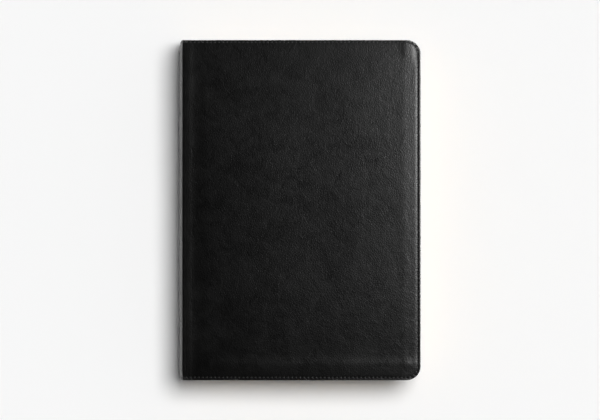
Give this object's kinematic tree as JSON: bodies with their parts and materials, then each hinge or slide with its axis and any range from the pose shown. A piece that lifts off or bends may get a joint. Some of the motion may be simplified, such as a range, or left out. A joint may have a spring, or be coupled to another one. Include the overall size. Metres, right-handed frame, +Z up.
{
  "type": "bible",
  "caption": "Closed limp-leather bible: stitched soft cover with round corners, round back and a sewn gilt-edged text block; the cover and the leaves open on hinges.",
  "frame": {"origin": "centre of the footprint, on the surface that the closed book lies on", "axes": "+X from the spine to the fore-edge, +Y from the tail to the head of the page, +Z up out of the front cover"},
  "size_m": [0.167, 0.235, 0.04],
  "materials": {
    "leather": "black faux leather, fine pebble grain, soft satin sheen",
    "lining": "smooth black bonded-leather lining, matte",
    "board": "thin flexible card",
    "stitching": "waxed black polyester thread",
    "endpaper": "dark grained endpaper, matte",
    "pages": "thin cream paper with gilded edges",
    "lining_paper": "kraft paper",
    "mull_cloth": "open starched muslin",
    "sewing_thread": "white linen thread",
    "folds": "folded paper edges with clear spine glue",
    "endband": "woven gold and black silk band"
  },
  "bodies": {
    "back_cover": {"back_cover_leather": "leather", "back_board": "board", "back_lining": "lining", "back_pastedown": "endpaper", "back_stitching": "stitching", "back_flyleaf": "endpaper", "section_24": "pages", "section_23": "pages", "section_22": "pages", "section_21": "pages", "section_20": "pages", "section_19": "pages", "section_18": "pages", "section_17": "pages", "section_16": "pages", "section_15": "pages", "section_14": "pages", "section_13": "pages"},
    "spine": {"spine_leather": "leather", "spine_inlay": "board", "spine_lining": "lining_paper", "mull": "mull_cloth", "sewing_thread": "sewing_thread", "sewn_folds": "folds", "headband": "endband", "tailband": "endband"},
    "front_leaves": {"front_joint_leather": "leather", "front_flyleaf": "endpaper", "section_01": "pages", "section_02": "pages", "section_03": "pages", "section_04": "pages", "section_05": "pages", "section_06": "pages", "section_07": "pages", "section_08": "pages", "section_09": "pages", "section_10": "pages", "section_11": "pages", "section_12": "pages"},
    "front_cover": {"front_cover_leather": "leather", "front_board": "board", "front_lining": "lining", "front_pastedown": "endpaper", "front_stitching": "stitching"}
  },
  "joints": [
    {"name": "spine_hinge", "type": "hinge", "parent": "back_cover", "child": "spine", "pos_m": [-0.0835, 0, 0], "axis": [0, -1, 0], "range_deg": [0, 90]},
    {"name": "leaves_hinge", "type": "hinge", "parent": "spine", "child": "front_leaves", "pos_m": [-0.0835, 0, 0.04], "axis": [0, -1, 0], "range_deg": [0, 90]},
    {"name": "front_cover_hinge", "type": "hinge", "parent": "front_leaves", "child": "front_cover", "pos_m": [-0.0743, 0, 0.04], "axis": [0, 1, 0], "range_deg": [-175, 0]}
  ],
  "couplings": [
    {"joint": "leaves_hinge", "follows": "spine_hinge", "ratio": 1}
  ]
}
